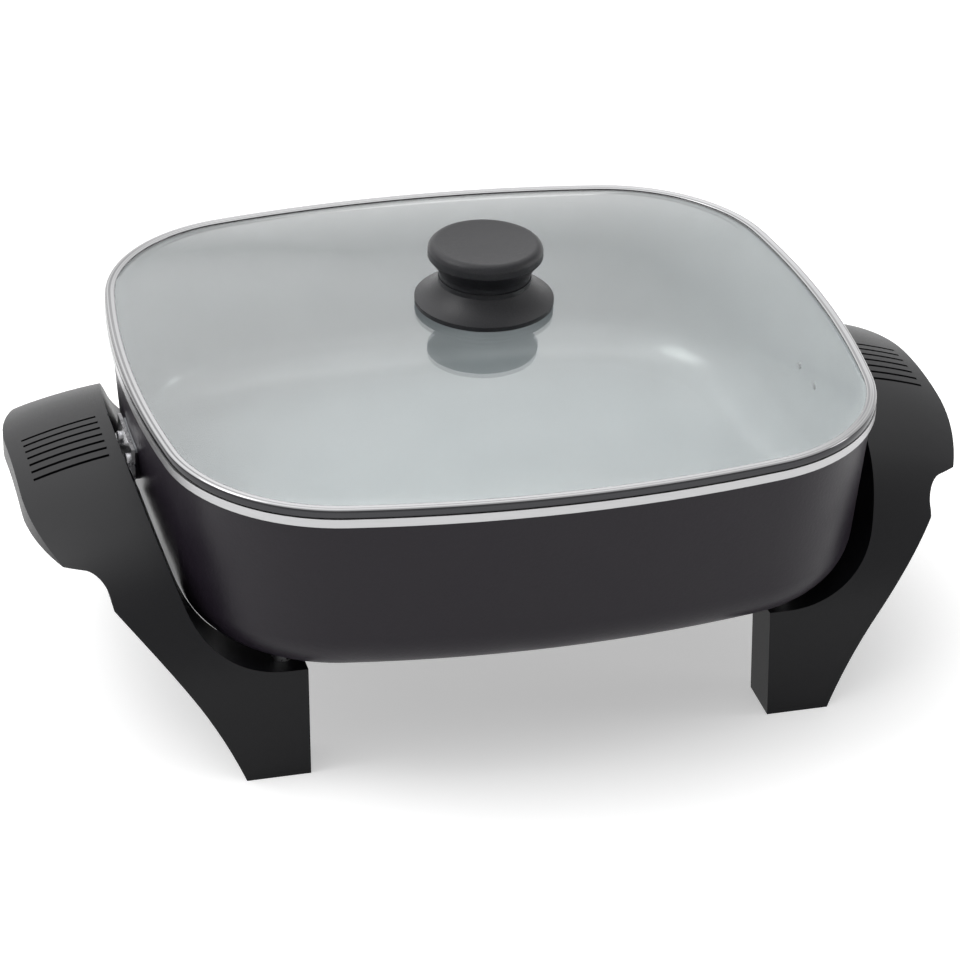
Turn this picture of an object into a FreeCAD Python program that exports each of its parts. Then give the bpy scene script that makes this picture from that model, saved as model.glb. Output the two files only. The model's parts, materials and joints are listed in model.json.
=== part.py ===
# Electric skillet: a cast pan with a lift-off glass lid, standing on two moulded handles
# whose arches run down into the four legs. Millimetres, +Z up, +X to the right handle.
# The origin lies on the table under the middle of the pan.
import FreeCAD, Part
import os
from math import acos, asin, atan, atan2, cos, hypot, pi, radians, sin, sqrt

V = FreeCAD.Vector
os.makedirs("parts", exist_ok=True)

# Rounded-square outline that the pan flange and the lid rim share
half_length = 208.0
half_width = 188.0
long_side_radius = 705.0
short_side_radius = 649.0
corner_radius = 98.6

# Heights above the table
pan_bottom = 70.0
pan_depth = 107.0
flange_height = 5.0

# Pan casting
flange_overhang = 2.0
wall_draft = 8.0
wall_thickness = 3.6
floor_thickness = 5.5
bottom_edge_radius = 30.0

# Lid
lid_gap = 0.3
rim_height = 5.5
rim_sheet = 0.9
rim_width = 6.0
glass_thickness = 3.7
glass_rise = 21.0
glass_fullness = 2.3
glass_hole = 8.0

# Knob
knob_flange_radius = 39.5
knob_flange_edge = 3.6
knob_neck_radius = 26.4
knob_skirt_height = 17.0
knob_grip_radius = 32.6
knob_grip_height = 20.3
knob_dish = 1.6
knob_dish_flat = 4.0
knob_screw_diameter = 5.0
knob_insert_diameter = 9.0
knob_insert_length = 16.0
gasket_thickness = 0.9
gasket_radius = 13.0
washer_thickness = 1.2
washer_radius = 9.0

# Handle arch, seen from the end: a crown arc, a shoulder arc and a leaning leg
arch_top = 147.0
crown_radius = 225.0
crown_half_angle = 22.0
foot_front = 148.4
leg_lean = 0.12
arch_depth = 29.0
handle_wall = 3.2

# Handle front view
foot_inner = 132.5
foot_width = 36.0
leg_top = 63.0
cradle_centre_x = 144.0
cradle_radius = 56.0
grip_inner = 213.7
grip_inner_height = 146.5
knee_x = 234.3
knee_height = 100.0
notch_radius = 11.5
lip_height = 114.5
grip_outer = 270.5
leg_waist_x = 199.0
leg_waist_height = 57.0

# Droop of the grip and its plan view
droop_start = 173.3
droop_radius = 272.0
lip_straight = 27.5
lip_radius = 156.0

# Thumb grooves
groove_count = 7
groove_pitch = 7.5
groove_width = 2.2
groove_depth = 1.5
groove_start = 219.5
groove_length = 42.5

# Handle bracket and its fasteners
bracket_width = 44.0
bracket_sheet = 2.0
bracket_plate_x = 205.0
bracket_low = 121.0
bracket_rise = 22.0
bracket_reach = 34.0
boss_spacing = 26.0
boss_radius = 5.5
screw_diameter = 4.0
screw_head_diameter = 8.0
screw_head_height = 2.6
handle_screw_x = 230.0

# Leg posts under the pan
leg_screw_x = 143.5
leg_screw_y = 124.0
spacer_diameter = 12.0
leg_washer_diameter = 11.0
leg_washer_thickness = 1.0
hole_clearance = 0.3

# Heating element in its cast rib, and the inlet
element_diameter = 8.0
element_half_x = 120.0
element_half_y = 100.0
element_corner = 60.0
element_turn = 12.0
terminal_spacing = 26.0
element_end_x = 146.0
rib_width = 15.0
rib_height = 16.0
rib_below_element = 3.8
element_fit = 0.1
pin_diameter = 4.8
pin_length = 38.0
pin_root_diameter = 4.0
insulator_diameter = 9.0
insulator_length = 5.0
sleeve_diameter = 8.0
sleeve_bore = 6.5
sleeve_length = 62.0
sleeve_inner_end = 104.0
shroud_width = 64.0
shroud_length = 42.0
shroud_height = 24.0
shroud_wall = 3.0
shroud_back = 12.0
shroud_screw_spacing = 52.0

# Heights and places that follow
flange_top = pan_bottom + pan_depth
flange_low = flange_top - flange_height
rim_bottom = flange_top + lid_gap
rim_top = rim_bottom + rim_height
glass_low = rim_bottom + rim_sheet
glass_edge_top = glass_low + glass_thickness
glass_top = glass_edge_top + glass_rise
element_axis = pan_bottom - rib_height + rib_below_element + element_diameter / 2
shroud_start = element_end_x + hole_clearance


def arc(start, middle, end):
    return Part.Arc(start, middle, end).toShape()


def line(start, end):
    return Part.LineSegment(start, end).toShape()


def polygon_face(points):
    return Part.Face(Part.makePolygon(points + [points[0]]))


def cylinder(radius, length, base, direction):
    return Part.makeCylinder(radius, length, base, direction)


def outline(inset, height, share=1.0):
    """Rounded-square wire of eight tangent arcs, moved in by inset and scaled by share."""
    half_x = (half_length - inset) * share
    half_y = (half_width - inset) * share
    long_r = (long_side_radius - inset) * share
    short_r = (short_side_radius - inset) * share
    corner_r = (corner_radius - inset) * share
    long_centre = half_y - long_r
    short_centre = half_x - short_r
    to_long = long_r - corner_r
    to_short = short_r - corner_r
    apart = hypot(long_centre, short_centre)
    along = (to_long**2 - to_short**2 + apart**2) / (2 * apart)
    across = sqrt(to_long**2 - along**2)
    unit_x = short_centre / apart
    unit_y = -long_centre / apart
    corner_x = unit_x * along - unit_y * across
    corner_y = long_centre + unit_y * along + unit_x * across
    if corner_x < 0 or corner_y < 0:
        corner_x = unit_x * along + unit_y * across
        corner_y = long_centre + unit_y * along - unit_x * across
    long_angle = atan2(corner_y - long_centre, corner_x)
    short_angle = atan2(corner_y, corner_x - short_centre)
    middle_angle = (long_angle + short_angle) / 2

    def at(radius, angle, centre_x, centre_y, sign_x=1, sign_y=1):
        x = centre_x + radius * cos(angle)
        y = centre_y + radius * sin(angle)
        return V(sign_x * x, sign_y * y, height)

    edges = []
    quarters = [(1, 1), (-1, 1), (-1, -1), (1, -1)]
    for number, (sx, sy) in enumerate(quarters):
        side_end = at(short_r, short_angle, short_centre, 0, sx, sy)
        top_end = at(long_r, long_angle, 0, long_centre, sx, sy)
        middle = at(corner_r, middle_angle, corner_x, corner_y, sx, sy)
        first, last = (side_end, top_end) if sx * sy > 0 else (top_end, side_end)
        edges.append(arc(first, middle, last))
        nx, ny = quarters[(number + 1) % 4]
        if sy == ny:
            crown = V(0, sy * half_y, height)
            following = at(long_r, long_angle, 0, long_centre, nx, ny)
        else:
            crown = V(sx * half_x, 0, height)
            following = at(short_r, short_angle, short_centre, 0, nx, ny)
        edges.append(arc(last, crown, following))
    return Part.Wire(edges)


def slab(inset, low, high):
    return Part.Face(outline(inset, low)).extrude(V(0, 0, high - low))


def tapered(inset_low, low, inset_high, high):
    return Part.makeLoft([outline(inset_low, low), outline(inset_high, high)], True, True)


def round_bottom(solid, height, radius):
    edges = [e for e in solid.Edges if abs(e.BoundBox.ZMax - height) < 0.01
             and abs(e.BoundBox.ZMin - height) < 0.01]
    return solid.makeFillet(radius, edges)


def element_path():
    """Centre line of the element: a rounded loop whose two ends turn out towards +X."""
    low_y = terminal_spacing / 2
    turn_y = low_y + element_turn
    turn_x = element_half_x + element_turn
    half = sqrt(0.5)
    z = element_axis
    corner_y = element_half_y - element_corner
    corner_x = element_half_x - element_corner

    def side(sign):
        turn_middle = V(turn_x - element_turn * half, sign * (turn_y - element_turn * half), z)
        front_middle = V(corner_x + element_corner * half, sign * (corner_y + element_corner * half), z)
        back_middle = V(-corner_x - element_corner * half, sign * (corner_y + element_corner * half), z)
        return [
            line(V(element_end_x, sign * low_y, z), V(turn_x, sign * low_y, z)),
            arc(V(turn_x, sign * low_y, z), turn_middle, V(element_half_x, sign * turn_y, z)),
            line(V(element_half_x, sign * turn_y, z), V(element_half_x, sign * corner_y, z)),
            arc(V(element_half_x, sign * corner_y, z), front_middle, V(corner_x, sign * element_half_y, z)),
            line(V(corner_x, sign * element_half_y, z), V(-corner_x, sign * element_half_y, z)),
            arc(V(-corner_x, sign * element_half_y, z), back_middle, V(-element_half_x, sign * corner_y, z)),
        ]

    far_side = line(V(-element_half_x, -corner_y, z), V(-element_half_x, corner_y, z))
    return Part.Wire(Part.__sortEdges__(side(-1) + [far_side] + side(1)))


def along_element(profile):
    sweep = Part.BRepOffsetAPI.MakePipeShell(element_path())
    sweep.setBiNormalMode(V(0, 0, 1))
    sweep.add(profile, False, False)
    sweep.build()
    sweep.makeSolid()
    return sweep.shape()


def rib_profile(width, low, high):
    y = -terminal_spacing / 2
    x = element_end_x
    points = [V(x, y - width / 2, low), V(x, y + width / 2, low),
              V(x, y + width / 2, high), V(x, y - width / 2, high)]
    return Part.makePolygon(points + [points[0]])


def make_pan():
    wall_top = flange_low + 0.5
    body = tapered(flange_overhang + wall_draft, pan_bottom, flange_overhang, wall_top)
    body = round_bottom(body, pan_bottom, bottom_edge_radius)
    body = body.fuse(slab(0, flange_low, flange_top))
    floor = pan_bottom + floor_thickness
    cavity = tapered(flange_overhang + wall_draft + wall_thickness, floor,
                     flange_overhang + wall_thickness, flange_top + 1)
    cavity = round_bottom(cavity, floor, bottom_edge_radius - wall_thickness)
    # Cast rib that holds the element, and the block that holds the probe sleeve
    rib = along_element(rib_profile(rib_width, pan_bottom - rib_height, pan_bottom + 1))
    block = Part.makeBox(element_end_x - sleeve_inner_end + wall_thickness, terminal_spacing - element_diameter - 1,
                         rib_height + 1, V(sleeve_inner_end - wall_thickness,
                                           -(terminal_spacing - element_diameter - 1) / 2,
                                           pan_bottom - rib_height))
    body = body.fuse([rib, block])
    # End lugs that the handle brackets are screwed to
    lug_height = bracket_rise - 2
    for side in (-1, 1):
        lug = Part.makeBox(bracket_plate_x - 180, bracket_width - 4, lug_height,
                           V(180, -(bracket_width - 4) / 2, bracket_low + 1))
        lug = lug.makeFillet(3.0, [e for e in lug.Edges if abs(e.BoundBox.XLength) > 10])
        if side < 0:
            lug = lug.mirror(V(0, 0, 0), V(1, 0, 0))
        body = body.fuse(lug)
    body = body.cut(cavity)
    groove = along_element(rib_profile(element_diameter + 2 * element_fit, pan_bottom - rib_height - 1,
                                       element_axis + element_diameter / 2 + element_fit))
    body = body.cut(groove)
    body = body.cut(cylinder(sleeve_diameter / 2 + element_fit, element_end_x,
                             V(sleeve_inner_end, 0, element_axis), V(1, 0, 0)))
    for hole in screw_holes_in_pan():
        body = body.cut(hole)
    return body.removeSplitter()


def screw_holes_in_pan():
    radius = screw_diameter / 2 + 0.05
    holes = []
    for sx in (-1, 1):
        for sy in (-1, 1):
            holes.append(cylinder(radius, floor_thickness - 1.5 + 1, V(sx * leg_screw_x, sy * leg_screw_y, pan_bottom - 1),
                                  V(0, 0, 1)))
            holes.append(cylinder(radius, 9.0, V(sx * (bracket_plate_x - 8.0 if sx > 0 else bracket_plate_x + 1.0),
                                                 sy * boss_spacing / 2, bracket_low + bracket_rise / 2), V(1, 0, 0)))
    for sy in (-1, 1):
        holes.append(cylinder(radius, floor_thickness - 1.5 + 1,
                              V(shroud_start + shroud_back / 2, sy * shroud_screw_spacing / 2, pan_bottom - 1),
                              V(0, 0, 1)))
    return holes


def arch_wire(inset, x, base):
    """Closed end view of the arch, moved in by inset: crown, shoulders and leaning legs."""
    lean = atan(leg_lean)
    normal = V(0, -cos(lean), sin(lean))
    crown_centre = arch_top - crown_radius
    leg_distance = foot_front * cos(lean)
    angle = radians(crown_half_angle)
    radial = V(0, -sin(angle), cos(angle))
    closeness = radial.dot(normal)
    offset = leg_distance - crown_centre * sin(lean)
    shoulder = (offset - crown_radius * closeness) / (1 - closeness)
    centre = V(x, 0, crown_centre) + radial * (crown_radius - shoulder)
    crown_end = centre + radial * (shoulder - inset)
    leg_end = centre + normal * (shoulder - inset)
    middle_direction = (radial + normal).normalize()
    middle = centre + middle_direction * (shoulder - inset)
    down = V(0, -sin(lean), -cos(lean))
    foot = leg_end + down * ((leg_end.z - base) / cos(lean))

    def other(point):
        return V(point.x, -point.y, point.z)

    top = V(x, 0, arch_top - inset)
    return Part.Wire([line(foot, leg_end), arc(leg_end, middle, crown_end),
                      arc(crown_end, top, other(crown_end)),
                      arc(other(crown_end), other(middle), other(leg_end)),
                      line(other(leg_end), other(foot)), line(other(foot), foot)])


def drooping_arch(inset, lowered=0.0):
    """The arch carried outwards along the droop of the grip, always upright."""
    start_x = foot_inner - 20.0
    end_x = grip_outer + 20.0
    reach = asin((end_x - droop_start) / droop_radius)

    def on_droop(angle):
        return V(droop_start + droop_radius * sin(angle), 0, droop_radius * cos(angle) - droop_radius)

    spine = Part.Wire([line(V(start_x, 0, 0), on_droop(0)),
                       arc(on_droop(0), on_droop(reach / 2), on_droop(reach))])
    sweep = Part.BRepOffsetAPI.MakePipeShell(spine)
    sweep.setTrihedronMode(V(start_x, 0, 0), V(0, 0, 1))
    sweep.add(arch_wire(inset, start_x, -60.0), False, False)
    sweep.build()
    sweep.makeSolid()
    solid = sweep.shape()
    solid.translate(V(0, 0, -lowered))
    return solid


def handle_front(inset):
    """Front view of one side of the handle: foot, leg, finger notch, grip and pan cradle."""
    cradle = V(cradle_centre_x, 0, leg_top + cradle_radius)
    reach_x = grip_inner - cradle.x
    reach_z = grip_inner_height - cradle.z
    distance = hypot(reach_x, reach_z)
    touch = atan2(reach_z, reach_x) - acos(cradle_radius / distance)
    tangent_point = V(cradle.x + cradle_radius * cos(touch), 0, cradle.z + cradle_radius * sin(touch))
    half_way = (touch - pi / 2) / 2
    arc_middle = V(cradle.x + cradle_radius * cos(half_way), 0, cradle.z + cradle_radius * sin(half_way))
    cradle_low = V(cradle.x, 0, leg_top)
    slope = (grip_inner - tangent_point.x) / (grip_inner_height - tangent_point.z)
    above = arch_top + 30.0
    inner_top = V(grip_inner + slope * (above - grip_inner_height), 0, above)
    notch_centre = V(knee_x + 0.7 + notch_radius, 0, lip_height - notch_radius)
    notch_side = V(notch_centre.x - notch_radius, 0, notch_centre.z)
    notch_top = V(notch_centre.x, 0, lip_height)
    notch_middle = notch_centre + V(-notch_radius * sqrt(0.5), 0, notch_radius * sqrt(0.5))
    outer = grip_outer + 15.0
    foot_a = V(foot_inner, 0, 0)
    foot_b = V(foot_inner + foot_width, 0, 0)
    knee = V(knee_x, 0, knee_height)
    leg_inner_top = V(foot_inner, 0, leg_top)
    wire = Part.Wire([
        line(foot_a, foot_b), arc(foot_b, V(leg_waist_x, 0, leg_waist_height), knee), line(knee, notch_side),
        arc(notch_side, notch_middle, notch_top), line(notch_top, V(outer, 0, lip_height)),
        line(V(outer, 0, lip_height), V(outer, 0, above)), line(V(outer, 0, above), inner_top),
        line(inner_top, tangent_point), arc(tangent_point, arc_middle, cradle_low),
        line(cradle_low, leg_inner_top), line(leg_inner_top, foot_a)])
    if inset:
        wire = wire.makeOffset2D(-inset, 2)
    face = Part.Face(wire)
    face.translate(V(0, -200, 0))
    return face.extrude(V(0, 400, 0))


def handle_plan(inset):
    """Plan view of the grip lip: straight in the middle, rounded towards both ends."""
    outer = grip_outer - inset
    radius = lip_radius - inset
    angle = asin((foot_front - arch_depth - 10.0 - lip_straight) / lip_radius)
    centre_x = outer - radius
    end_x = centre_x + radius * cos(angle)
    end_y = lip_straight + radius * sin(angle)
    mid_x = centre_x + radius * cos(angle / 2)
    mid_y = lip_straight + radius * sin(angle / 2)
    far = 200.0
    near_x = 100.0
    wire = Part.Wire([
        line(V(outer, -lip_straight, 0), V(outer, lip_straight, 0)),
        arc(V(outer, lip_straight, 0), V(mid_x, mid_y, 0), V(end_x, end_y, 0)),
        line(V(end_x, end_y, 0), V(end_x, far, 0)), line(V(end_x, far, 0), V(near_x, far, 0)),
        line(V(near_x, far, 0), V(near_x, -far, 0)), line(V(near_x, -far, 0), V(end_x, -far, 0)),
        line(V(end_x, -far, 0), V(end_x, -end_y, 0)),
        arc(V(end_x, -end_y, 0), V(mid_x, -mid_y, 0), V(outer, -lip_straight, 0))])
    return Part.Face(wire).extrude(V(0, 0, 200))


def handle_skin(inset):
    return drooping_arch(inset).common(handle_front(inset)).common(handle_plan(inset))


def make_handle():
    outer = handle_skin(0)
    hollow = handle_skin(handle_wall)
    opening = Part.Face(arch_wire(arch_depth, 0, -60.0)).extrude(V(400, 0, 0))
    handle = outer.cut(hollow).cut(opening)
    # Grooves follow the drooping top at one depth
    lowered = drooping_arch(0, groove_depth)
    for number in range(groove_count):
        y = (number - (groove_count - 1) / 2) * groove_pitch
        slot = Part.makeBox(groove_length, groove_width, 60, V(groove_start, y - groove_width / 2, lip_height))
        handle = handle.cut(slot.cut(lowered))
    # Screw bosses that hang from the top skin down to the bracket
    bracket_top = bracket_low + bracket_sheet
    for sy in (-1, 1):
        boss = cylinder(boss_radius, 60, V(handle_screw_x, sy * boss_spacing / 2, bracket_top), V(0, 0, 1))
        handle = handle.fuse(boss.common(handle_skin(handle_wall / 2)))
    # Window in the inner wall where the bracket passes
    window_low = bracket_low - arch_depth
    window_x = bracket_plate_x - bracket_sheet
    window = Part.makeBox(screw_head_height + handle_wall + 2 * bracket_sheet, bracket_width + 2 * hole_clearance,
                          bracket_low + bracket_rise + hole_clearance - window_low,
                          V(window_x, -bracket_width / 2 - hole_clearance, window_low))
    handle = handle.cut(window)
    for sy in (-1, 1):
        hole = cylinder(screw_diameter / 2 + 0.05, 12.0, V(handle_screw_x, sy * boss_spacing / 2, bracket_top - 1),
                        V(0, 0, 1))
        leg_hole = cylinder(screw_diameter / 2 + hole_clearance, 10, V(leg_screw_x, sy * leg_screw_y, leg_top - 6),
                            V(0, 0, 1))
        spot_face = cylinder(spacer_diameter / 2 + hole_clearance, 10.0, V(leg_screw_x, sy * leg_screw_y, leg_top),
                             V(0, 0, 1))
        handle = handle.cut(hole).cut(leg_hole).cut(spot_face)
    return handle.removeSplitter()


def make_bracket():
    top = bracket_low + bracket_sheet
    plate_x = bracket_plate_x
    profile = [V(plate_x, 0, bracket_low), V(plate_x + bracket_reach, 0, bracket_low),
               V(plate_x + bracket_reach, 0, top), V(plate_x + bracket_sheet, 0, top),
               V(plate_x + bracket_sheet, 0, bracket_low + bracket_rise), V(plate_x, 0, bracket_low + bracket_rise)]
    body = polygon_face(profile)
    body.translate(V(0, -bracket_width / 2, 0))
    body = body.extrude(V(0, bracket_width, 0))
    outer_bend = [e for e in body.Edges if abs(e.BoundBox.XMax - plate_x) < 0.1
                  and abs(e.BoundBox.ZMax - bracket_low) < 0.1 and e.BoundBox.YLength > 10]
    body = body.makeFillet(bracket_sheet - 0.1, outer_bend)
    for sy in (-1, 1):
        y = sy * boss_spacing / 2
        body = body.cut(cylinder(screw_diameter / 2 + hole_clearance, 20,
                                 V(plate_x - 5, y, bracket_low + bracket_rise / 2), V(1, 0, 0)))
        body = body.cut(cylinder(screw_diameter / 2 + hole_clearance, 20, V(handle_screw_x, y, bracket_low - 5),
                                 V(0, 0, 1)))
    return body


def screw(seat, direction, length):
    """Pan-head screw: the head stands on the seat, the shank runs along direction."""
    head = cylinder(screw_head_diameter / 2, screw_head_height, seat - direction * screw_head_height, direction)
    rim = [e for e in head.Edges if e.Curve.TypeId == "Part::GeomCircle"
           and abs((e.CenterOfMass - seat).dot(direction) + screw_head_height) < 0.01]
    head = head.makeChamfer(screw_head_height * 0.35, rim)
    shank = cylinder(screw_diameter / 2, length, seat, direction)
    slot_side = V(0, 1, 0) if abs(direction.y) < 0.5 else V(1, 0, 0)
    across = direction.cross(slot_side)
    body = head.fuse(shank)
    for one, two in ((slot_side, across), (across, slot_side)):
        corner = seat - direction * (screw_head_height + 0.1) - one * 2.2 - two * 0.45
        face = polygon_face([corner, corner + one * 4.4, corner + one * 4.4 + two * 0.9, corner + two * 0.9])
        body = body.cut(face.extrude(direction * 1.2))
    return body.removeSplitter()


def make_lid_glass():
    def dome(drop):
        shares = [1.0, 0.93, 0.8, 0.6, 0.4, 0.16]
        wires = [outline(rim_width + 1.5, glass_edge_top + glass_rise * (1 - share**glass_fullness) - drop, share)
                 for share in shares]
        return Part.makeLoft(wires, True, False)

    plate = slab(rim_sheet + 0.3, glass_low, glass_edge_top)
    glass = plate.fuse(dome(0)).cut(dome(glass_thickness))
    glass = glass.cut(cylinder(glass_hole / 2, 60, V(0, 0, glass_low), V(0, 0, 1)))
    return glass.removeSplitter()


def make_lid_rim():
    ring = slab(0, rim_bottom, rim_top)
    edges = [e for e in ring.Edges if e.BoundBox.ZLength < 0.01]
    ring = ring.makeChamfer(1.2, edges)
    ring = ring.cut(slab(rim_width, rim_bottom - 1, rim_top + 1))
    ring = ring.cut(slab(rim_sheet + 0.25, glass_low - 0.02, glass_edge_top + 0.02))
    return ring.removeSplitter()


def knob_parts():
    seat = glass_top - glass_rise * 0.16**glass_fullness
    hub = seat + gasket_thickness
    low = hub - 0.5
    neck_z = low + 14.0
    skirt_top = low + knob_skirt_height
    hub_radius = gasket_radius + 2
    skirt_wire = Part.Wire([
        line(V(hub_radius, 0, hub), V(hub_radius, 0, low + 3.0)),
        line(V(hub_radius, 0, low + 3.0), V(knob_flange_radius - 4, 0, low + 1.2)),
        line(V(knob_flange_radius - 4, 0, low + 1.2), V(knob_flange_radius - 1.5, 0, low)),
        line(V(knob_flange_radius - 1.5, 0, low), V(knob_flange_radius, 0, low + 1.0)),
        line(V(knob_flange_radius, 0, low + 1.0), V(knob_flange_radius, 0, low + knob_flange_edge)),
        arc(V(knob_flange_radius, 0, low + knob_flange_edge), V(knob_flange_radius - 6.6, 0, low + 7.4),
            V(knob_neck_radius, 0, neck_z)),
        line(V(knob_neck_radius, 0, neck_z), V(knob_neck_radius, 0, skirt_top)),
        line(V(knob_neck_radius, 0, skirt_top), V(0, 0, skirt_top)),
        line(V(0, 0, skirt_top), V(0, 0, hub)), line(V(0, 0, hub), V(hub_radius, 0, hub))])
    skirt = Part.Face(skirt_wire).revolve(V(0, 0, 0), V(0, 0, 1), 360)
    grip_top = skirt_top + knob_grip_height
    grip_wire = Part.Wire([
        line(V(0, 0, skirt_top), V(knob_neck_radius - 0.6, 0, skirt_top)),
        line(V(knob_neck_radius - 0.6, 0, skirt_top), V(knob_neck_radius - 0.2, 0, skirt_top + 3.5)),
        arc(V(knob_neck_radius - 0.2, 0, skirt_top + 3.5), V(knob_neck_radius + 2.6, 0, skirt_top + 8.0),
            V(knob_grip_radius, 0, skirt_top + 12.5)),
        line(V(knob_grip_radius, 0, skirt_top + 12.5), V(knob_grip_radius, 0, grip_top - 4.5)),
        arc(V(knob_grip_radius, 0, grip_top - 4.5), V(knob_grip_radius - 1.2, 0, grip_top - 1.4),
            V(knob_grip_radius - 4.0, 0, grip_top)),
        arc(V(knob_grip_radius - 4.0, 0, grip_top), V(knob_grip_radius / 2, 0, grip_top - knob_dish * 0.75),
            V(knob_dish_flat, 0, grip_top - knob_dish)),
        line(V(knob_dish_flat, 0, grip_top - knob_dish), V(0, 0, grip_top - knob_dish)),
        line(V(0, 0, grip_top - knob_dish), V(0, 0, skirt_top))])
    grip = Part.Face(grip_wire).revolve(V(0, 0, 0), V(0, 0, 1), 360)
    insert_low = skirt_top - knob_insert_length / 2
    insert = cylinder(knob_insert_diameter / 2, knob_insert_length, V(0, 0, insert_low), V(0, 0, 1))
    under_glass = seat - glass_thickness
    screw_length = insert_low + knob_insert_length - 2 - (under_glass - washer_thickness)
    bore = cylinder(knob_screw_diameter / 2, screw_length, V(0, 0, under_glass - washer_thickness), V(0, 0, 1))
    skirt = skirt.cut(insert).cut(cylinder(knob_screw_diameter / 2 + hole_clearance, 60, V(0, 0, hub - 1), V(0, 0, 1)))
    grip = grip.cut(insert)
    gasket = cylinder(gasket_radius, gasket_thickness, V(0, 0, seat), V(0, 0, 1))
    gasket = gasket.cut(cylinder(knob_screw_diameter / 2 + hole_clearance, 60, V(0, 0, seat - 5), V(0, 0, 1)))
    washer = cylinder(washer_radius, washer_thickness, V(0, 0, under_glass - washer_thickness), V(0, 0, 1))
    washer = washer.cut(bore)
    head_low = under_glass - washer_thickness
    head = cylinder(washer_radius - 3, 3.2, V(0, 0, head_low - 3.2), V(0, 0, 1))
    slot = Part.makeBox(14, 1.4, 1.4, V(-7, -0.7, head_low - 3.3))
    return {
        "knob_skirt": skirt,
        "knob_grip": grip,
        "knob_insert": insert.cut(bore),
        "knob_gasket": gasket,
        "knob_washer": washer,
        "knob_screw": head.fuse(bore).cut(slot).removeSplitter(),
    }


def make_element():
    circle = Part.makeCircle(element_diameter / 2, V(element_end_x, -terminal_spacing / 2, element_axis), V(1, 0, 0))
    return along_element(Part.Wire([circle]))


def make_insulator(sy):
    base = V(element_end_x, sy * terminal_spacing / 2, element_axis)
    bead = cylinder(insulator_diameter / 2, insulator_length, base, V(1, 0, 0))
    return bead.cut(cylinder(pin_root_diameter / 2 + 0.02, insulator_length, base, V(1, 0, 0)))


def make_pin(sy):
    """Shouldered pin: the thin root passes through the bead and meets the element."""
    base = V(element_end_x, sy * terminal_spacing / 2, element_axis)
    root = cylinder(pin_root_diameter / 2, insulator_length, base, V(1, 0, 0))
    shoulder = base + V(insulator_length, 0, 0)
    shank = cylinder(pin_diameter / 2, pin_length - insulator_length, shoulder, V(1, 0, 0))
    return root.fuse(shank)


def make_shroud():
    low = pan_bottom - shroud_height
    body = Part.makeBox(shroud_length, shroud_width, shroud_height, V(shroud_start, -shroud_width / 2, low))
    body = body.makeFillet(4.0, [e for e in body.Edges if e.BoundBox.XLength > 10 and e.BoundBox.ZMax < low + 1])
    mouth = Part.makeBox(shroud_length, shroud_width - 2 * shroud_wall, shroud_height - 2 * shroud_wall,
                         V(shroud_start + shroud_back, -shroud_width / 2 + shroud_wall, low + shroud_wall))
    mouth = mouth.makeFillet(2.5, [e for e in mouth.Edges if e.BoundBox.XLength > 10])
    body = body.cut(mouth)
    for sy in (-1, 1):
        body = body.cut(cylinder(insulator_diameter / 2 + element_fit, 60,
                                 V(shroud_start - 1, sy * terminal_spacing / 2, element_axis), V(1, 0, 0)))
        body = body.cut(cylinder(screw_diameter / 2 + hole_clearance, 60,
                                 V(shroud_start + shroud_back / 2, sy * shroud_screw_spacing / 2, low - 1),
                                 V(0, 0, 1)))
    return body.cut(cylinder(sleeve_diameter / 2 + element_fit, 60, V(shroud_start - 1, 0, element_axis), V(1, 0, 0)))


def write(name, shape):
    shape.exportStep("parts/" + name + ".step")
    print(name, round(shape.Volume / 1000, 2), "cm3", len(shape.Solids), "solids", shape.isValid())


def both(function):
    """The two solids that function makes for the front and the back."""
    return Part.makeCompound([function(-1), function(1)])


# Base body
write("pan_body", make_pan())
write("heating_element", make_element())
write("element_insulators", both(make_insulator))
write("terminal_pins", both(make_pin))
sleeve = cylinder(sleeve_diameter / 2, sleeve_length, V(sleeve_inner_end, 0, element_axis), V(1, 0, 0))
write("probe_sleeve", sleeve.cut(cylinder(sleeve_bore / 2, sleeve_length, V(sleeve_inner_end + 2, 0, element_axis),
                                          V(1, 0, 0))))
write("inlet_shroud", make_shroud())
write("shroud_screws", both(lambda sy: screw(V(shroud_start + shroud_back / 2, sy * shroud_screw_spacing / 2,
                                               pan_bottom - shroud_height), V(0, 0, 1),
                                             shroud_height + floor_thickness - 2)))

handle = make_handle()
bracket = make_bracket()
screw_height = bracket_low + bracket_rise / 2
plate_face = bracket_plate_x + bracket_sheet
spacer_length = pan_bottom - leg_top
washer_low = leg_top - handle_wall - leg_washer_thickness
right = {
    "handle": handle,
    "bracket": bracket,
    "bracket_screws": both(lambda sy: screw(V(plate_face, sy * boss_spacing / 2, screw_height), V(-1, 0, 0), 9.0)),
    "handle_screws": both(lambda sy: screw(V(handle_screw_x, sy * boss_spacing / 2, bracket_low), V(0, 0, 1), 12.0)),
    "leg_spacers": both(lambda sy: cylinder(spacer_diameter / 2, spacer_length,
                        V(leg_screw_x, sy * leg_screw_y, leg_top), V(0, 0, 1)).cut(
                        cylinder(screw_diameter / 2 + hole_clearance, 40,
                                 V(leg_screw_x, sy * leg_screw_y, leg_top - 5), V(0, 0, 1)))),
    "leg_washers": both(lambda sy: cylinder(leg_washer_diameter / 2, leg_washer_thickness,
                        V(leg_screw_x, sy * leg_screw_y, washer_low), V(0, 0, 1)).cut(
                        cylinder(screw_diameter / 2 + hole_clearance, 40,
                                 V(leg_screw_x, sy * leg_screw_y, leg_top - 20), V(0, 0, 1)))),
    "leg_screws": both(lambda sy: screw(V(leg_screw_x, sy * leg_screw_y, washer_low), V(0, 0, 1),
                                        pan_bottom - washer_low + floor_thickness - 2)),
}
for name, shape in right.items():
    write(name + "_right", shape)
    write(name + "_left", shape.mirror(V(0, 0, 0), V(1, 0, 0)))

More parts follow.
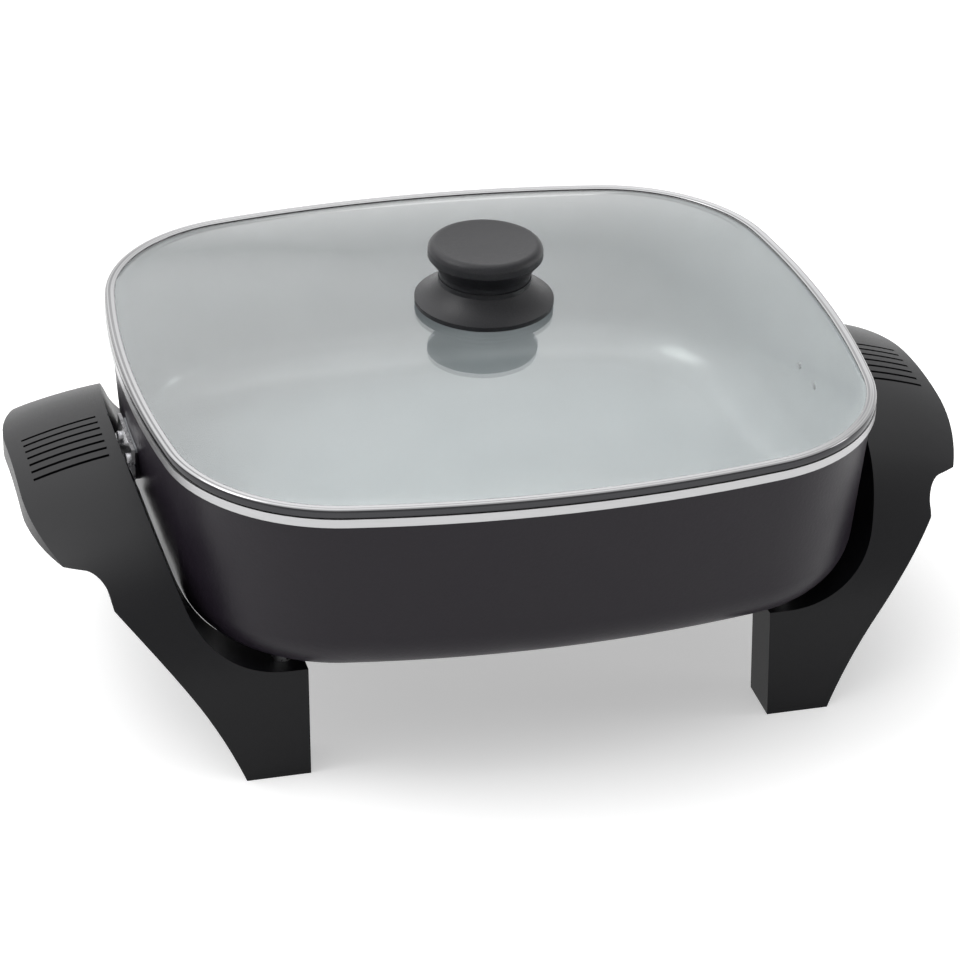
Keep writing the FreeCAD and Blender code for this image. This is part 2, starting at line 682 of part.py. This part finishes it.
# Lid body
write("lid_glass", make_lid_glass())
write("lid_rim", make_lid_rim())
for name, shape in knob_parts().items():
    write(name, shape)
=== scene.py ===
# %% [markdown]
# # A deep electric skillet with a lift-off glass lid
# The imported model is a fixed frame in metres: the pan stands on two arched handle legs,
# and the lid with its knob is a body of its own that lifts straight up.
# First it is loaded, and the size of its box is printed.

# %% Load the model
import json
import math
import bpy
from mathutils import Matrix, Vector


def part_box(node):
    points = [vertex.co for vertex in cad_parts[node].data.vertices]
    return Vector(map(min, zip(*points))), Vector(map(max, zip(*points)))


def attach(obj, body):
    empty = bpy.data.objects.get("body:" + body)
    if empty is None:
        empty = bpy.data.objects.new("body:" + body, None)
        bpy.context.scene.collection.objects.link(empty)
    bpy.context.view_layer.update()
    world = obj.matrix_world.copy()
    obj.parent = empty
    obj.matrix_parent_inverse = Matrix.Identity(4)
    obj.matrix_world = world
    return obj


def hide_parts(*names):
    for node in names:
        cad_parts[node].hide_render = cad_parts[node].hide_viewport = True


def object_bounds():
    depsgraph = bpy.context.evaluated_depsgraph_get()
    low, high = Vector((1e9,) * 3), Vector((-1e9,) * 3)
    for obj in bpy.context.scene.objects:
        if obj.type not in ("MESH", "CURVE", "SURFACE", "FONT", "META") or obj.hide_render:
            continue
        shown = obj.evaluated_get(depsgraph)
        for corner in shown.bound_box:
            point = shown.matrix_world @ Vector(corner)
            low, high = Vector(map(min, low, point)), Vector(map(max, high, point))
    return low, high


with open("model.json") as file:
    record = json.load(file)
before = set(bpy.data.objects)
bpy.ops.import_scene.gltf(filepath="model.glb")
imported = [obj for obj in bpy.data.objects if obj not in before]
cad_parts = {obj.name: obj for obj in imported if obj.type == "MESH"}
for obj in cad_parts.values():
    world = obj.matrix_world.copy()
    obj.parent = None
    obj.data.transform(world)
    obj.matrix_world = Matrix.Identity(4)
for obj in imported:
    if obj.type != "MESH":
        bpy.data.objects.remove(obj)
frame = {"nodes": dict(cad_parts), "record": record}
nodes = frame["nodes"]
cad_box = [list(corner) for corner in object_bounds()]
size_mm = [round(1000 * (high - low), 1) for low, high in zip(*cad_box)]
print("the model has", len(nodes), "pieces and measures", size_mm, "mm")

# %% [markdown]
# ## Camera
# The photograph was taken from the front left and well above the lid, with a long lens:
# the far side of the rim is hardly shorter than the near side.
# A camera could be moved by hand until the picture looks right. Here its numbers come from a fit
# of the lid's outline, the grips and the soles to the picture, because a fit shows both the
# turn and the distance, which the eye confuses.

# %% Camera
scene = bpy.context.scene
azimuth, elevation, roll = (math.radians(angle) for angle in (-15.807, 29.874, 1.754))
distance = 2.0975
focal_length = 135.163
sensor_width = 36
aim = Vector((0, 0, 0.0852))
shift_right = 0.0009
shift_up = 0.00102

back = Vector((
    math.sin(azimuth) * math.cos(elevation),
    -math.cos(azimuth) * math.cos(elevation),
    math.sin(elevation),
))
level = Vector((math.cos(azimuth), math.sin(azimuth), 0))
rise = back.cross(level)
right = level * math.cos(roll) + rise * math.sin(roll)
up = rise * math.cos(roll) - level * math.sin(roll)

camera_data = bpy.data.cameras.new("camera")
camera_data.lens = focal_length
camera_data.sensor_width = sensor_width
camera = bpy.data.objects.new("camera", camera_data)
scene.collection.objects.link(camera)
place = aim + back * distance + right * shift_right + up * shift_up
camera.matrix_world = Matrix.Translation(place) @ Matrix((right, up, back)).transposed().to_4x4()
scene.camera = camera
scene.view_settings.view_transform = "Standard"
print("camera at", [round(value, 3) for value in place])

# %% [markdown]
# ## Starting a finish
# Every finish on this object is a tree of shader nodes. `shader` starts one and returns the
# material, its tree and its main shader. `wire` joins an output to an input.

# %% Start a finish
def shader(name, colour, roughness, metallic=0.0):
    finish = bpy.data.materials.new(name)
    finish.use_nodes = True
    tree = finish.node_tree
    main = tree.nodes["Principled BSDF"]
    main.inputs["Base Color"].default_value = (*colour, 1)
    main.inputs["Roughness"].default_value = roughness
    main.inputs["Metallic"].default_value = metallic
    return finish, tree, main


def wire(tree, source, output, target, entry):
    tree.links.new(source.outputs[output], target.inputs[entry])


# %% [markdown]
# ## Patterns and unevenness
# Real coats are never quite even. A painted picture could show that, but a pattern made by nodes
# needs no file and stays sharp from near. `noise` gives a pattern with a grain in metres,
# because each piece keeps its place in its mesh, and `relief` turns a pattern into fine bumps.

# %% Patterns and unevenness
def noise(tree, grain, detail=2.0, stretch=(1, 1, 1)):
    spot = tree.nodes.new("ShaderNodeTexCoord")
    scale = tree.nodes.new("ShaderNodeMapping")
    scale.inputs["Scale"].default_value = stretch
    pattern = tree.nodes.new("ShaderNodeTexNoise")
    pattern.inputs["Scale"].default_value = 1 / grain
    pattern.inputs["Detail"].default_value = detail
    wire(tree, spot, "Object", scale, "Vector")
    wire(tree, scale, "Vector", pattern, "Vector")
    return pattern


def relief(tree, main, pattern, height, over=None):
    bump = tree.nodes.new("ShaderNodeBump")
    bump.inputs["Distance"].default_value = height
    wire(tree, pattern, 0, bump, "Height")
    if over:
        wire(tree, over, "Normal", bump, "Normal")
    wire(tree, bump, "Normal", main, "Normal")
    return bump


# %% [markdown]
# ## Letting gloss and colour wander
# `spread` lets the roughness wander between two values with a pattern, and `tint` does the
# same for two tones of a colour. Both keep to a narrow range, so the piece still reads as one coat.

# %% Wandering gloss and colour
def spread(tree, pattern, main, low, high):
    ramp = tree.nodes.new("ShaderNodeMapRange")
    ramp.inputs["From Min"].default_value = 0.35
    ramp.inputs["From Max"].default_value = 0.65
    ramp.inputs["To Min"].default_value = low
    ramp.inputs["To Max"].default_value = high
    wire(tree, pattern, 0, ramp, "Value")
    wire(tree, ramp, "Result", main, "Roughness")


def tint(tree, pattern, main, dark_tone, light_tone):
    ramp = tree.nodes.new("ShaderNodeValToRGB")
    ramp.color_ramp.elements[0].position = 0.3
    ramp.color_ramp.elements[1].position = 0.7
    ramp.color_ramp.elements[0].color = (*dark_tone, 1)
    ramp.color_ramp.elements[1].color = (*light_tone, 1)
    wire(tree, pattern, 0, ramp, "Fac")
    wire(tree, ramp, "Color", main, "Base Color")


# %% [markdown]
# ## Dark enamel outside the pan
# The pan is one casting with three finishes. Outside it has a dark satin enamel with the
# slight orange peel of a sprayed coat. One noise could give both, but two sizes of noise, one
# laid over the other, look more like a sprayed coat than one does.

# %% Enamel
enamel, tree, main = shader("pan_enamel", (0.013, 0.01, 0.015), 0.36)
main.inputs["Specular IOR Level"].default_value = 0.22
peel = noise(tree, grain=0.0022, detail=3)
fine = noise(tree, grain=0.0003)
relief(tree, main, fine, 0.00002, over=relief(tree, main, peel, 0.00008))
spread(tree, noise(tree, grain=0.04), main, 0.33, 0.40)
tint(tree, fine, main, (0.011, 0.0085, 0.013), (0.015, 0.0115, 0.0175))
print("made", enamel.name)

# %% [markdown]
# ## Pale coat inside the pan
# Inside the pan has a smooth, pale ceramic coat. Bumps would show as grain through
# the lid, so only its gloss and tone wander, in soft clouds.

# %% Ceramic coat
ceramic, tree, main = shader("pan_ceramic", (0.27, 0.28, 0.3), 0.22)
cloud = noise(tree, grain=0.03, detail=3)
spread(tree, cloud, main, 0.19, 0.25)
tint(tree, cloud, main, (0.255, 0.265, 0.28), (0.28, 0.29, 0.305))
print("made", ceramic.name)

# %% [markdown]
# ## Black moulded handles and knob
# The handles and the knob are a hard black moulding resin. The mould gives the handles a fine
# grain and the knob a coarser one. The grain could be cut into the mesh, but it is far
# too fine for that, so it is a bump.

# %% Moulding resin
def resin(name, colour, roughness, shine, grain, detail, height, gloss, tones):
    finish, tree, main = shader(name, colour, roughness)
    main.inputs["Specular IOR Level"].default_value = shine
    pattern = noise(tree, grain, detail)
    relief(tree, main, pattern, height)
    spread(tree, pattern, main, *gloss)
    tint(tree, pattern, main, *tones)
    print("made", name)
    return finish


handle_skin = resin(
    "handle_skin", (0.006, 0.006, 0.0072), 0.33, shine=0.2, grain=0.0005, detail=3,
    height=0.00003, gloss=(0.34, 0.44), tones=((0.0035, 0.0035, 0.0045), (0.0065, 0.0065, 0.008)),
)
knob_skin = resin(
    "knob_skin", (0.018, 0.018, 0.021), 0.4, shine=0.3, grain=0.0007, detail=4,
    height=0.00012, gloss=(0.3, 0.5), tones=((0.006, 0.006, 0.008), (0.016, 0.016, 0.019)),
)

# %% [markdown]
# ## Drawn, rolled and turned metal
# The rim is rolled, the pins are drawn, and the flange and the brass insert are turned. Each of
# these leaves fine marks along one direction. A stretched noise gives them all, so one
# function makes them. The side of the rim gets a darker steel, which is a painted dark
# reflection: it stands for the dark line that the polished rim mirrors there.

# %% Metal with fine marks
def marked_metal(name, colour, roughness, grain, stretch, height, gloss):
    finish, tree, main = shader(name, colour, roughness, metallic=1.0)
    marks = noise(tree, grain, stretch=stretch)
    relief(tree, main, marks, height)
    spread(tree, marks, main, *gloss)
    print("made", name)
    return finish


rolled_marks = (0.05, 0.05, 1)
rim_steel = marked_metal(
    "rim_steel", (0.33, 0.33, 0.335), 0.08, 0.0006, rolled_marks, 0.000006, (0.06, 0.12))
# darker steel for the rim's upright side: a painted dark reflection, not a finish of its own
rim_painted_dark_reflection = marked_metal(
    "rim_painted_dark_reflection", (0.05, 0.05, 0.053), 0.16, 0.0006, rolled_marks, 0.000006, (0.12, 0.2))
flange = marked_metal(
    "pan_flange", (0.42, 0.42, 0.425), 0.34, 0.0004, (0.04, 0.04, 1), 0.00001, (0.28, 0.42))
pin_plate = marked_metal(
    "pin_plate", (0.62, 0.61, 0.58), 0.16, 0.0004, (0.05, 1, 1), 0.000005, (0.12, 0.24))
brass = marked_metal(
    "brass", (0.6, 0.42, 0.17), 0.25, 0.0003, (0.1, 0.1, 1), 0.00001, (0.2, 0.34))

# %% [markdown]
# ## Tarnished and plated steel
# The heating element is dull steel that has coloured with heat, and brackets and screws are zinc
# plated. Both differ from place to place in tone more than in shape, so they
# have two tones and no bumps.

# %% Steel with two tones
def patchy_steel(name, colour, roughness, grain, detail, gloss, tones):
    finish, tree, main = shader(name, colour, roughness, metallic=1.0)
    patches = noise(tree, grain, detail)
    tint(tree, patches, main, *tones)
    spread(tree, patches, main, *gloss)
    print("made", name)
    return finish


dull_steel = patchy_steel(
    "dull_steel", (0.2, 0.2, 0.205), 0.45, 0.006, 4, (0.38, 0.55),
    ((0.12, 0.12, 0.125), (0.25, 0.245, 0.24)))
zinc = patchy_steel(
    "zinc_plate", (0.5, 0.5, 0.52), 0.3, 0.003, 3, (0.24, 0.38),
    ((0.44, 0.44, 0.46), (0.56, 0.56, 0.57)))

# %% [markdown]
# ## Ceramic beads and silicone gasket
# The two beads that hold the element's ends are glazed, and the gasket under the knob is matt
# silicone. Both are small and pale, with a slight waviness.

# %% Beads and gasket
def pale_coat(name, colour, roughness, grain, height, tones):
    finish, tree, main = shader(name, colour, roughness)
    waves = noise(tree, grain, detail=3)
    relief(tree, main, waves, height)
    tint(tree, waves, main, *tones)
    print("made", name)
    return finish


bead = pale_coat(
    "bead_ceramic", (0.72, 0.69, 0.62), 0.22, 0.0015, 0.00004,
    ((0.68, 0.65, 0.58), (0.76, 0.73, 0.67)))
silicone = pale_coat(
    "silicone", (0.42, 0.42, 0.4), 0.6, 0.0008, 0.00003,
    ((0.39, 0.39, 0.37), (0.45, 0.45, 0.43)))

# %% [markdown]
# ## Lid glass
# Clear tempered glass has a slight green tone. True glass would also bend the light that falls
# into the pan, which takes many samples to become smooth. So a ray that only asks for light
# goes straight on, with a little of it lost, and the glass is true for all others.

# %% Lid glass
glass, tree, main = shader("lid_glass", (0.95, 0.975, 0.97), 0.0)
main.inputs["Transmission Weight"].default_value = 1
main.inputs["IOR"].default_value = 1.52
depth = noise(tree, grain=0.06, detail=1)
tint(tree, depth, main, (0.94, 0.968, 0.964), (0.955, 0.978, 0.974))
clear = tree.nodes.new("ShaderNodeBsdfTransparent")
clear.inputs["Color"].default_value = (0.88, 0.93, 0.91, 1)
ray = tree.nodes.new("ShaderNodeLightPath")
blend = tree.nodes.new("ShaderNodeMixShader")
wire(tree, ray, "Is Shadow Ray", blend, "Fac")
wire(tree, main, 0, blend, 1)
wire(tree, clear, 0, blend, 2)
wire(tree, blend, 0, tree.nodes["Material Output"], "Surface")
print("made", glass.name)

# %% [markdown]
# ## Smooth shading and soft edges
# Every piece comes in as small triangles that aren't joined. Joined again and shaded
# smoothly, they look round. Real edges have to stay sharp: most pieces are split
# there, and the handles get a small rounding instead, which catches a line of light.

# %% Smooth shading
join_distance = 0.00001
sharp_angle = math.radians(28)
rounded_angle = math.radians(35)


def smooth(piece, rounding):
    mesh = piece.data
    if "custom_normal" in mesh.attributes:
        mesh.attributes.remove(mesh.attributes["custom_normal"])
    mesh.polygons.foreach_set("use_smooth", [True] * len(mesh.polygons))
    weld = piece.modifiers.new("weld", "WELD")
    weld.merge_threshold = join_distance
    if rounding:
        bevel = piece.modifiers.new("rounding", "BEVEL")
        bevel.limit_method = "ANGLE"
        bevel.angle_limit = rounded_angle
        bevel.width = rounding
        bevel.segments = 3
        bevel.harden_normals = True
        return
    split = piece.modifiers.new("edges", "EDGE_SPLIT")
    split.split_angle = sharp_angle
    split.use_edge_sharp = False


# %% [markdown]
# ## Finishes go on the pieces
# Each piece of the model takes the finish that its slot in the record names. Naming each piece
# here would work too, but the slots already say which pieces are made of the same stuff.

# %% Finishes on the pieces
finish_of_slot = {
    "pan_enamel": enamel,
    "handle_plastic": handle_skin,
    "knob_plastic": knob_skin,
    "lid_glass": glass,
    "rim_steel": rim_steel,
    "element_steel": dull_steel,
    "bracket_steel": zinc,
    "screw_steel": zinc,
    "pin_steel": pin_plate,
    "bead_ceramic": bead,
    "insert_brass": brass,
    "gasket_rubber": silicone,
}
rounding_of_slot = {"handle_plastic": 0.0008}

for part in frame["record"]["subparts"]:
    piece, slot = nodes[part["node"]], part["material_slot"]
    piece.data.materials.clear()
    piece.data.materials.append(finish_of_slot[slot])
    smooth(piece, rounding_of_slot.get(slot, 0.0))

# %% [markdown]
# ## Outline of the lid
# Pan and lid share one rounded-square outline of eight tangent arcs: four long, nearly straight
# sides and four corners. A corner's centre lies where a circle round the long side's centre
# meets one round the short side's centre. One quarter is worked out and mirrored.

# %% Outline of the lid
half_length, half_width = 0.208, 0.188
long_side_radius, short_side_radius, corner_radius = 0.705, 0.649, 0.0986
steps_per_arc = 22


def outline(inset):
    """Points (x, y) of the outline moved in by inset, once round from +X."""
    half_x, half_y = half_length - inset, half_width - inset
    long_r, short_r, corner_r = (r - inset for r in (long_side_radius, short_side_radius, corner_radius))
    long_centre, short_centre = half_y - long_r, half_x - short_r
    to_long, to_short = long_r - corner_r, short_r - corner_r
    apart = math.hypot(long_centre, short_centre)
    along = (to_long**2 - to_short**2 + apart**2) / (2 * apart)
    across = math.sqrt(to_long**2 - along**2)
    unit = Vector((short_centre, -long_centre)) / apart
    foot = Vector((0, long_centre)) + unit * along
    sideways = Vector((-unit.y, unit.x)) * across
    corner = max((foot + sideways, foot - sideways), key=lambda point: point.x + point.y)
    first = math.atan2(corner.y, corner.x - short_centre)
    second = math.atan2(corner.y - long_centre, corner.x)
    arcs = [
        (Vector((short_centre, 0)), short_r, 0, first),
        (corner, corner_r, first, second),
        (Vector((0, long_centre)), long_r, second, math.pi / 2),
    ]
    quarter = []
    for centre, radius, start, end in arcs:
        for step in range(steps_per_arc):
            angle = start + (end - start) * step / steps_per_arc
            quarter.append((centre.x + radius * math.cos(angle), centre.y + radius * math.sin(angle)))
    half = quarter + [(0.0, half_y)] + [(-x, y) for x, y in reversed(quarter)]
    return half + [(-x, -y) for x, y in half[1:-1]]


print("the outline has", len(outline(0)), "points")

# %% [markdown]
# ## Closed skins through rings
# Rim and glass are mirrors, and a mirror shows every coarse triangle. So both are made again as
# dense skins through rings of points: each ring joins the next, and the last joins the first.
# The skin replaces the imported piece, rides on the same body and gets the finish given to it.

# %% Closed skins
fold_angle = math.radians(50)


def closed_skin(name, rings, finish, body, replaced):
    count = len(rings[0])
    points = [point for ring in rings for point in ring]
    faces = []
    for number in range(len(rings)):
        here, there = number * count, (number + 1) % len(rings) * count
        for step in range(count):
            after = (step + 1) % count
            faces.append((here + step, here + after, there + after, there + step))
    mesh = bpy.data.meshes.new(name)
    mesh.from_pydata(points, [], faces)
    mesh.validate()
    mesh.update()
    mesh.materials.append(finish)
    mesh.polygons.foreach_set("use_smooth", [True] * len(mesh.polygons))
    piece = bpy.data.objects.new(name, mesh)
    scene.collection.objects.link(piece)
    split = piece.modifiers.new("edges", "EDGE_SPLIT")
    split.split_angle = fold_angle
    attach(piece, body)
    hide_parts(replaced)
    print(name, "has", len(mesh.vertices), "points")
    return piece


# %% [markdown]
# ## Rim of the lid
# A strip of steel is rolled round the edge of the glass: a full bead outside, a shallow valley,
# and a small lip that presses on the glass. A curve with a bevel could make it, but a list of
# profile points keeps the bead exactly inside the model's own rim.

# %% Rim of the lid
rim_bottom = 0.1773
under_side = [(6.0, 0.0), (1.4, 0.0)]
bead_side = [
    (0.7, 0.1), (0.22, 0.45), (0.02, 1.1), (0.0, 1.9), (0.02, 2.7), (0.12, 3.4), (0.3, 4.1), (0.6, 4.7),
]
bead_top = [(1.0, 5.15), (1.5, 5.42), (2.1, 5.47), (2.6, 5.3), (2.95, 5.02)]
valley = [(3.3, 4.8), (3.8, 4.72), (4.3, 4.85), (4.8, 5.06)]
lip = [(5.3, 5.12), (5.7, 5.02), (5.93, 4.85), (6.0, 4.7)]
glass_slot = [(5.8, 4.63), (1.3, 4.63), (1.18, 4.4), (1.18, 1.1), (1.3, 0.88), (6.0, 0.88)]

rings = []
for inset_mm, height_mm in under_side + bead_side + bead_top + valley + lip + glass_slot:
    height = rim_bottom + height_mm / 1000
    rings.append([(x, y, height) for x, y in outline(inset_mm / 1000)])
rolled_rim = closed_skin("rolled_rim", rings, rim_steel, "lid", "lid_rim")

# %% [markdown]
# ## Painted dark reflection on the side of the rim
# The upright side of the rim shows as a dark line above the bright flange, painted as a dark
# reflection in the steel. Its faces are picked by height and by the way they face, and they get the
# darker steel.

# %% Painted dark reflection on the rim side
# the darker steel added here is a painted dark reflection on the rim's upright side
rolled_rim.data.materials.append(rim_painted_dark_reflection)
side_low, side_high = rim_bottom + 0.0005, rim_bottom + 0.0046
painted_reflection_faces = 0
for face in rolled_rim.data.polygons:
    outward = face.normal.x * face.center.x + face.normal.y * face.center.y
    if side_low < face.center.z < side_high and outward > 0:
        face.material_index = 1
        painted_reflection_faces += 1
print("dark side of the rim:", painted_reflection_faces, "faces")

# %% [markdown]
# ## Glass of the lid
# The dome rises from a flat edge that sits in the rim. Its height falls off with the share of
# the way out, and near the knob the rounded square turns into the round hole for the screw.
# A scaled sphere would be simpler, but its edge would not lie flat in the rim.

# %% Glass of the lid
glass_low = 0.1782
glass_thickness = 0.0037
glass_rise = 0.021
fullness = 2.3
dome_inset = 0.0075
edge_inset = 0.0013
edge_chamfer = 0.0004
hole_radius = 0.004
round_share = 0.3
first_share = 0.05
dome_steps = 38
glass_top = glass_low + glass_thickness
mean_reach = 0.5 * (half_length + half_width) - dome_inset
foot_ring = outline(dome_inset)


def dome_ring(share, base):
    """Ring of the dome at a share of the way out; it turns from the round hole into the outline."""
    height = base + glass_rise * (1 - share**fullness)
    squareness = min(1.0, share / round_share)
    round_reach = hole_radius + (mean_reach - hole_radius) * share
    ring = []
    for x, y in foot_ring:
        reach = math.hypot(x, y)
        span = round_reach + (reach * share - round_reach) * squareness
        ring.append((x / reach * span, y / reach * span, height))
    return ring


def edge_ring(inset, height):
    return [(x, y, height) for x, y in outline(inset)]


shares = [0.0] + [first_share + (1 - first_share) * step / dome_steps for step in range(dome_steps + 1)]
rings = [dome_ring(share, glass_low) for share in shares]
rings.append(edge_ring(edge_inset + edge_chamfer, glass_low))
rings.append(edge_ring(edge_inset, glass_low + edge_chamfer))
rings.append(edge_ring(edge_inset, glass_top - edge_chamfer))
rings.append(edge_ring(edge_inset + edge_chamfer, glass_top))
rings += [dome_ring(share, glass_top) for share in reversed(shares)]
closed_skin("domed_glass", rings, glass, "lid", "lid_glass")

# %% [markdown]
# ## The three finishes of the pan
# The pan could be cut into three pieces, but it is one casting. So each face picks its finish:
# the flange by its height, the inside if a face looks up or towards the middle
# above the floor of the pan, and the enamel for the rest.

# %% Finishes of the pan
pan = nodes["pan_body"]
pan.data.materials.append(ceramic)
pan.data.materials.append(flange)
outside, inside, on_flange = 0, 1, 2
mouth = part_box("pan_body")[1].z
flange_height = 0.005
floor_top = 0.0755
flange_low = mouth - flange_height - 0.0002
inside_low = floor_top - 0.0005
counts = [0, 0, 0]
for face in pan.data.polygons:
    centre, normal = face.center, face.normal
    outward = normal.x * centre.x + normal.y * centre.y
    if centre.z > flange_low and (outward > 0 or abs(normal.z) > 0.9):
        face.material_index = on_flange
    elif centre.z > inside_low and (outward < 0 or normal.z > 0.3):
        face.material_index = inside
    else:
        face.material_index = outside
    counts[face.material_index] += 1
print("pan faces outside, inside and on the flange:", counts)

# %% [markdown]
# ## Rays that see the background
# The background should be white wherever it is seen, but it must not light the object more
# for that. So the white belongs only to rays of the camera, of mirrors and of the glass.

# %% Rays that see
def larger(tree):
    node = tree.nodes.new("ShaderNodeMath")
    node.operation = "MAXIMUM"
    return node


def seen_rays(tree):
    """1 for rays by which the camera, a mirror or the glass sees something, 0 for the rest."""
    ray = tree.nodes.new("ShaderNodeLightPath")
    camera_or_mirror, any_of_them = larger(tree), larger(tree)
    wire(tree, ray, "Is Camera Ray", camera_or_mirror, 0)
    wire(tree, ray, "Is Glossy Ray", camera_or_mirror, 1)
    wire(tree, camera_or_mirror, 0, any_of_them, 0)
    wire(tree, ray, "Is Transmission Ray", any_of_them, 1)
    return any_of_them


# %% [markdown]
# ## Floor
# The floor is matt white. Lit by the lamps alone it would be grey in the picture, so where it is
# seen it has a little light of its own. It runs out to white and still keeps the
# soft shadow of the object.

# %% Floor
bpy.ops.mesh.primitive_plane_add(size=30)
floor = bpy.context.object
floor.name = "floor"
white, tree, main = shader("floor_white", (0.8, 0.8, 0.8), 1.0)
main.inputs["Specular IOR Level"].default_value = 0
glow = tree.nodes.new("ShaderNodeEmission")
glow.inputs["Strength"].default_value = 0.45
dark = tree.nodes.new("ShaderNodeEmission")
dark.inputs["Strength"].default_value = 0
seen = tree.nodes.new("ShaderNodeMixShader")
wire(tree, seen_rays(tree), 0, seen, "Fac")
wire(tree, dark, 0, seen, 1)
wire(tree, glow, 0, seen, 2)
both = tree.nodes.new("ShaderNodeAddShader")
wire(tree, main, 0, both, 0)
wire(tree, seen, 0, both, 1)
wire(tree, both, 0, tree.nodes["Material Output"], "Surface")
floor.data.materials.append(white)
print("floor is", floor.dimensions.x, "m wide")

# %% [markdown]
# ## Sky of the studio
# The glass mirrors what hangs behind and above it. A lamp there would show its hard edge in the
# dome, so the studio's world itself is brightest in one direction and falls off smoothly.

# %% Sky of the studio
world = bpy.data.worlds.new("studio")
scene.world = world
world.use_nodes = True
tree = world.node_tree
background = tree.nodes["Background"]
background.inputs["Strength"].default_value = 1
direction = tree.nodes.new("ShaderNodeTexCoord")
towards = tree.nodes.new("ShaderNodeVectorMath")
towards.operation = "DOT_PRODUCT"
towards.inputs[1].default_value = (-0.17, 0.44, 0.88)
fall_off = tree.nodes.new("ShaderNodeMapRange")
fall_off.interpolation_type = "SMOOTHSTEP"
fall_off.inputs["From Min"].default_value = 0.3
fall_off.inputs["From Max"].default_value = 1.0
fall_off.inputs["To Min"].default_value = 0.05
fall_off.inputs["To Max"].default_value = 2.3
wire(tree, direction, "Generated", towards, 0)
wire(tree, towards, "Value", fall_off, "Value")
at_least_white = larger(tree)
wire(tree, fall_off, "Result", at_least_white, 0)
wire(tree, seen_rays(tree), 0, at_least_white, 1)
wire(tree, at_least_white, 0, background, "Color")
print("sky:", world.name)

# %% [markdown]
# ## Two soft panels
# A large panel high on the left gives the direction of the shadow, and a small low one on the
# right draws the soft highlight on the corner of the pan. Brightness is what a mirror
# would see of the panel, where 1 is white.

# %% Soft panels
middle = Vector((0, 0, 0.1))


def panel(name, place, width, height, brightness):
    data = bpy.data.lights.new(name, "AREA")
    data.shape = "RECTANGLE"
    data.size, data.size_y = width, height
    data.energy = brightness * math.pi * width * height
    lamp = bpy.data.objects.new(name, data)
    scene.collection.objects.link(lamp)
    lamp.location = place
    lamp.rotation_euler = (middle - Vector(place)).to_track_quat("-Z", "Y").to_euler()
    print(name, "has", round(data.energy, 1), "W")


panel("left_panel", (-1.7, 0.3, 2.2), width=1.2, height=1.2, brightness=4.5)
panel("right_panel", (2.4, -0.5, 0.7), width=0.6, height=0.9, brightness=3.5)
